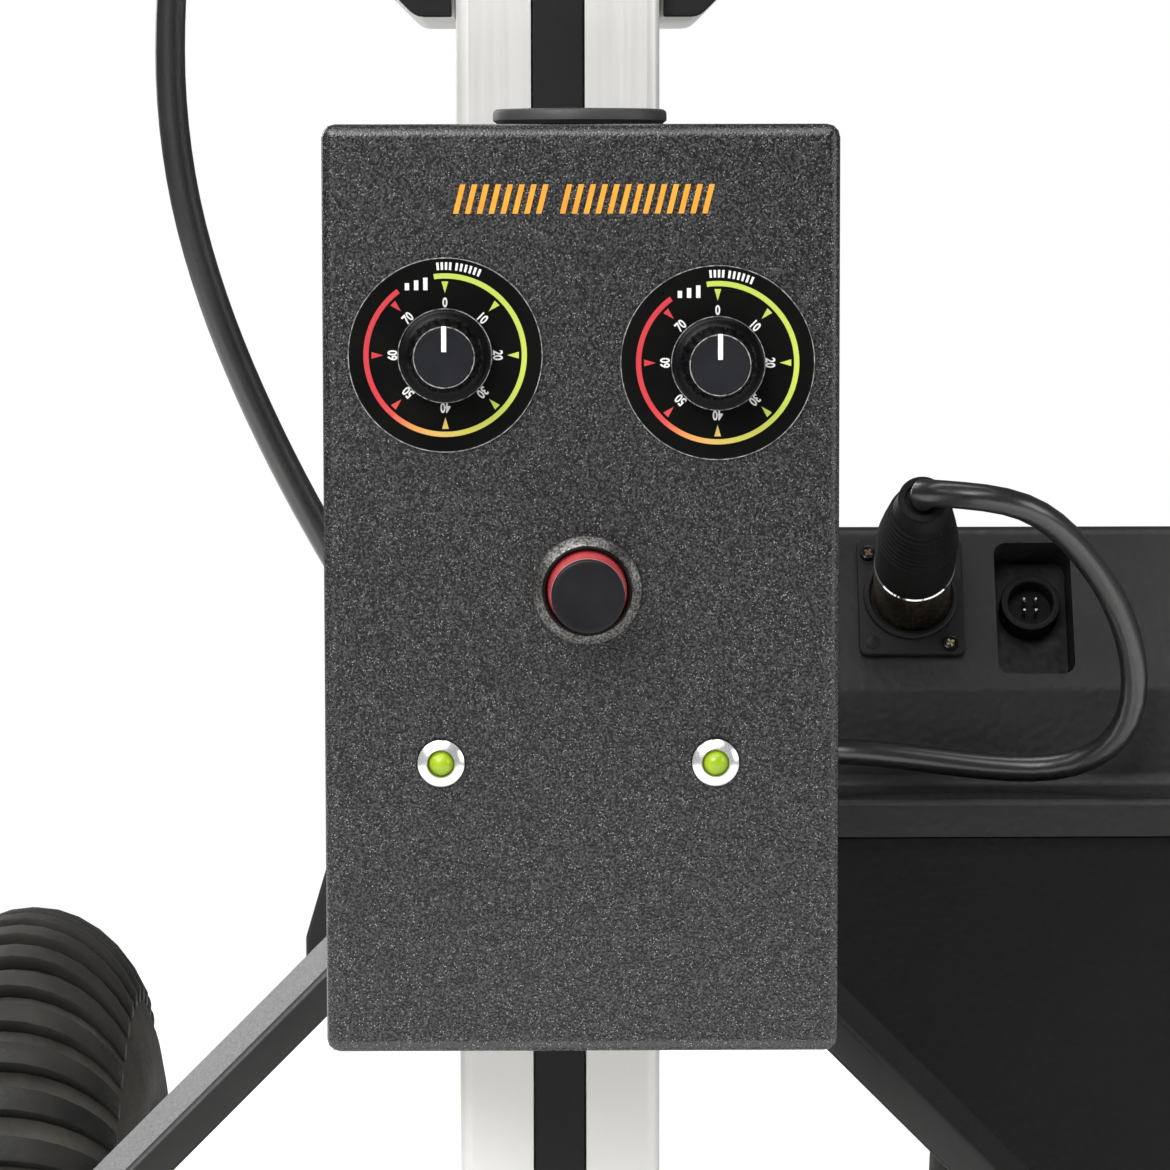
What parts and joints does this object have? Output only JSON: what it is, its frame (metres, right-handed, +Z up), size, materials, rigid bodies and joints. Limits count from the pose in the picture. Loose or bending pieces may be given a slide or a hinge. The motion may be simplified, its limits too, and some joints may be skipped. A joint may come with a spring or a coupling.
{
  "type": "ball launcher",
  "caption": "Ball launcher on a wheeled stand: two spinning launch wheels on a tilting head, a control box on its post and a battery case behind it.",
  "frame": {"origin": "on the floor, in the middle of the machine's footprint", "axes": "+Z up; +Y the way the ball flies; +X to the right of the operator, who stands at -Y and faces the control box"},
  "size_m": [0.7528, 0.8, 0.72],
  "materials": {
    "satin_aluminium": "satin anodised",
    "bright_steel": "machined",
    "chrome": "polished",
    "black_paint": "satin black powder coat",
    "black_plastic": "satin",
    "textured_charcoal": "fine textured",
    "gloss_black": "gloss",
    "dial_black": "printed label",
    "soft_black_rubber": "matte",
    "tyre_rubber": "dusty, knobbly tread",
    "grey_wheel_rubber": "matte",
    "cable_jacket": "smooth jacket",
    "red_plastic": "translucent look, gloss",
    "green_lens": "lit lens",
    "board_green": "solder mask",
    "battery_grey": "moulded case"
  },
  "bodies": {
    "base": {"axle": "bright_steel", "base_block": "black_paint", "battery": "battery_grey", "battery_cable": "cable_jacket", "box_bracket": "bright_steel", "box_gland_left": "black_plastic", "box_gland_right": "black_plastic", "box_rear_cover": "textured_charcoal", "box_shell": "textured_charcoal", "box_top_cap": "black_plastic", "button_bezel": "gloss_black", "button_body": "black_plastic", "carriage": "satin_aluminium", "carriage_cover_left": "black_plastic", "carriage_cover_right": "black_plastic", "case_arm": "black_paint", "case_body": "textured_charcoal", "case_lid": "textured_charcoal", "charge_socket": "black_plastic", "circuit_board": "board_green", "dial_plate_left": "dial_black", "dial_plate_right": "dial_black", "foot_left": "soft_black_rubber", "foot_right": "soft_black_rubber", "front_beam": "black_paint", "hub_plate": "black_paint", "led_bezel_left": "chrome", "led_bezel_right": "chrome", "led_lens_left": "green_lens", "led_lens_right": "green_lens", "leg_left": "black_paint", "leg_right": "black_paint", "motor_cable": "cable_jacket", "plug_boot": "soft_black_rubber", "post": "satin_aluminium", "post_cap": "black_plastic", "power_plug": "bright_steel", "power_socket": "black_plastic", "slot_strip": "black_plastic", "speed_control_left": "bright_steel", "speed_control_right": "bright_steel", "tie_bar": "black_paint", "tilt_pin": "bright_steel"},
    "head": {"head_deck": "satin_aluminium", "motor_left": "black_paint", "motor_right": "black_paint", "feed_trough": "black_plastic", "wheel_guard_left": "black_paint", "wheel_guard_right": "black_paint", "deck_gland": "black_plastic"},
    "launch_left": {"launch_wheel_left": "grey_wheel_rubber"},
    "launch_right": {"launch_wheel_right": "grey_wheel_rubber"},
    "wheel_left": {"tyre_left": "tyre_rubber", "rim_left": "black_paint"},
    "wheel_right": {"tyre_right": "tyre_rubber", "rim_right": "black_paint"},
    "dial_left": {"knob_left": "black_plastic"},
    "dial_right": {"knob_right": "black_plastic"},
    "button": {"button_plunger": "red_plastic"},
    "clamp": {"clamp_knob": "black_plastic"}
  },
  "joints": [
    {"name": "tilt", "type": "hinge", "parent": "base", "child": "head", "pos_m": [0, -0.16, 0.573], "axis": [1, 0, 0], "range_deg": [-10, 40], "deforming": ["motor_cable"]},
    {"name": "launch_spin_left", "type": "hinge", "parent": "head", "child": "launch_left", "pos_m": [-0.13, -0.165, 0.695], "axis": [0, 0, 1], "continuous": true},
    {"name": "launch_spin_right", "type": "hinge", "parent": "head", "child": "launch_right", "pos_m": [0.13, -0.165, 0.695], "axis": [0, 0, 1], "continuous": true},
    {"name": "roll_left", "type": "hinge", "parent": "base", "child": "wheel_left", "pos_m": [-0.1626, 0.275, 0.125], "axis": [1, 0, 0], "continuous": true},
    {"name": "roll_right", "type": "hinge", "parent": "base", "child": "wheel_right", "pos_m": [0.1626, 0.275, 0.125], "axis": [1, 0, 0], "continuous": true},
    {"name": "speed_left", "type": "hinge", "parent": "base", "child": "dial_left", "pos_m": [-0.0212, -0.269, 0.44125], "axis": [0, 1, 0], "range_deg": [0, 315]},
    {"name": "speed_right", "type": "hinge", "parent": "base", "child": "dial_right", "pos_m": [0.0292, -0.269, 0.43975], "axis": [0, 1, 0], "range_deg": [0, 315]},
    {"name": "button_press", "type": "slide", "parent": "base", "child": "button", "axis": [0, 1, 0], "range_m": [0, 0.003], "stiffness_N_per_m": 500},
    {"name": "clamp_turn", "type": "hinge", "parent": "base", "child": "clamp", "pos_m": [0, -0.16, 0.573], "axis": [1, 0, 0], "range_deg": [0, 180]}
  ]
}
